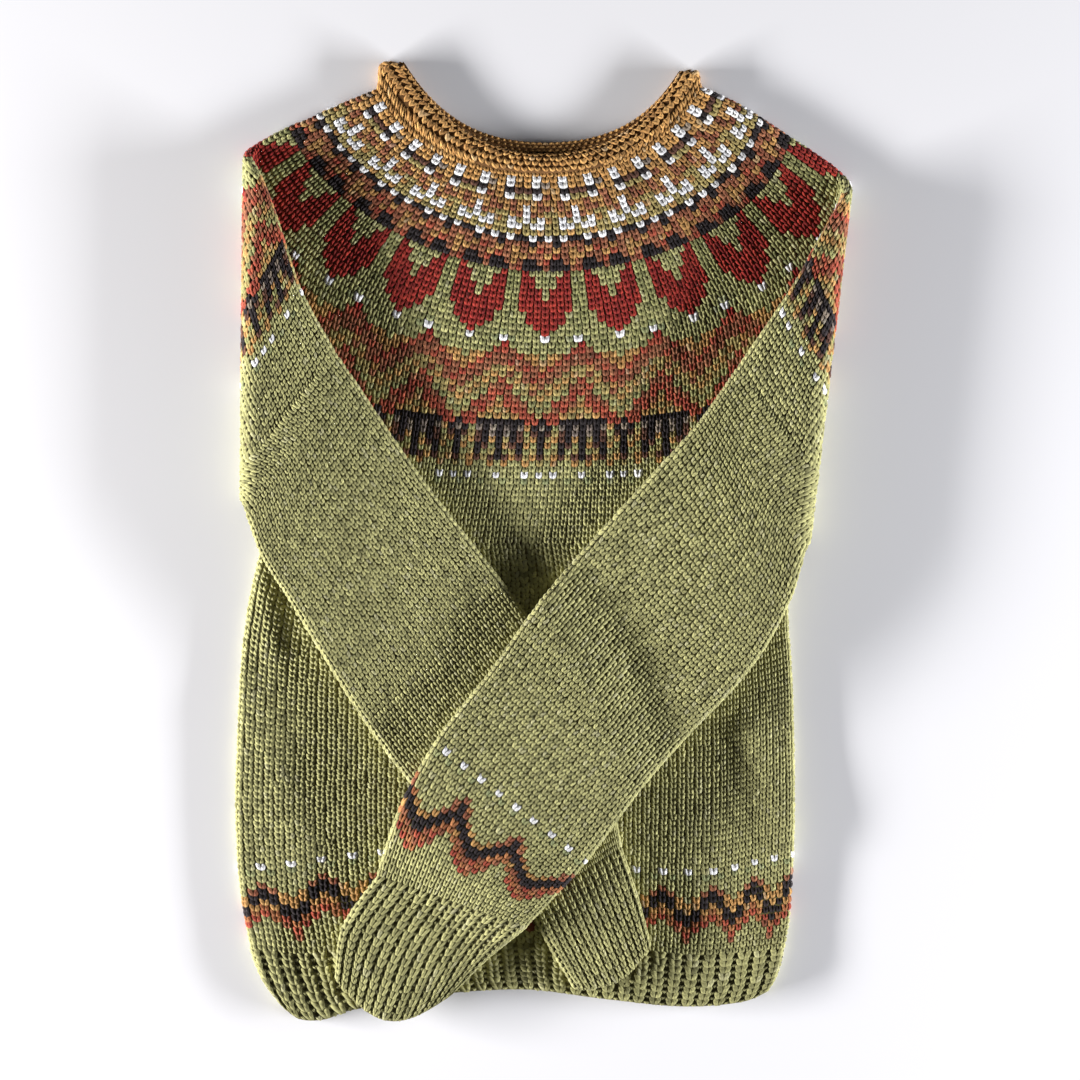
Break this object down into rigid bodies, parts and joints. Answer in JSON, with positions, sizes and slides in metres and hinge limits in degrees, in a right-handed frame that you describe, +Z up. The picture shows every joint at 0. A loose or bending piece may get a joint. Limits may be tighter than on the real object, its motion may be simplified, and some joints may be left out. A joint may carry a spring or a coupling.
{
  "type": "fair isle sweater",
  "caption": "Hand-knitted round-yoke fair isle sweater lying flat, front up, with its sleeves folded over the front and crossed.",
  "frame": {"origin": "middle of the bounding box in X and Y, on the surface that the sweater lies on", "axes": "+X to the viewer's right across the front, +Y from hem to neck, +Z up off the surface"},
  "size_m": [0.432, 0.6726, 0.028],
  "materials": {
    "body": "matte heathered wool",
    "hem_rib": "matte heathered wool",
    "yoke": "matte wool in several colours",
    "neck_roll": "matte mustard wool",
    "sleeve_left": "matte heathered wool",
    "sleeve_right": "matte heathered wool",
    "cuff_left": "matte heathered wool",
    "cuff_right": "matte heathered wool"
  },
  "bodies": {
    "root": {"body": "body", "hem_rib": "hem_rib", "yoke": "yoke", "neck_roll": "neck_roll", "sleeve_left": "sleeve_left", "sleeve_right": "sleeve_right", "cuff_left": "cuff_left", "cuff_right": "cuff_right"}
  },
  "joints": []
}
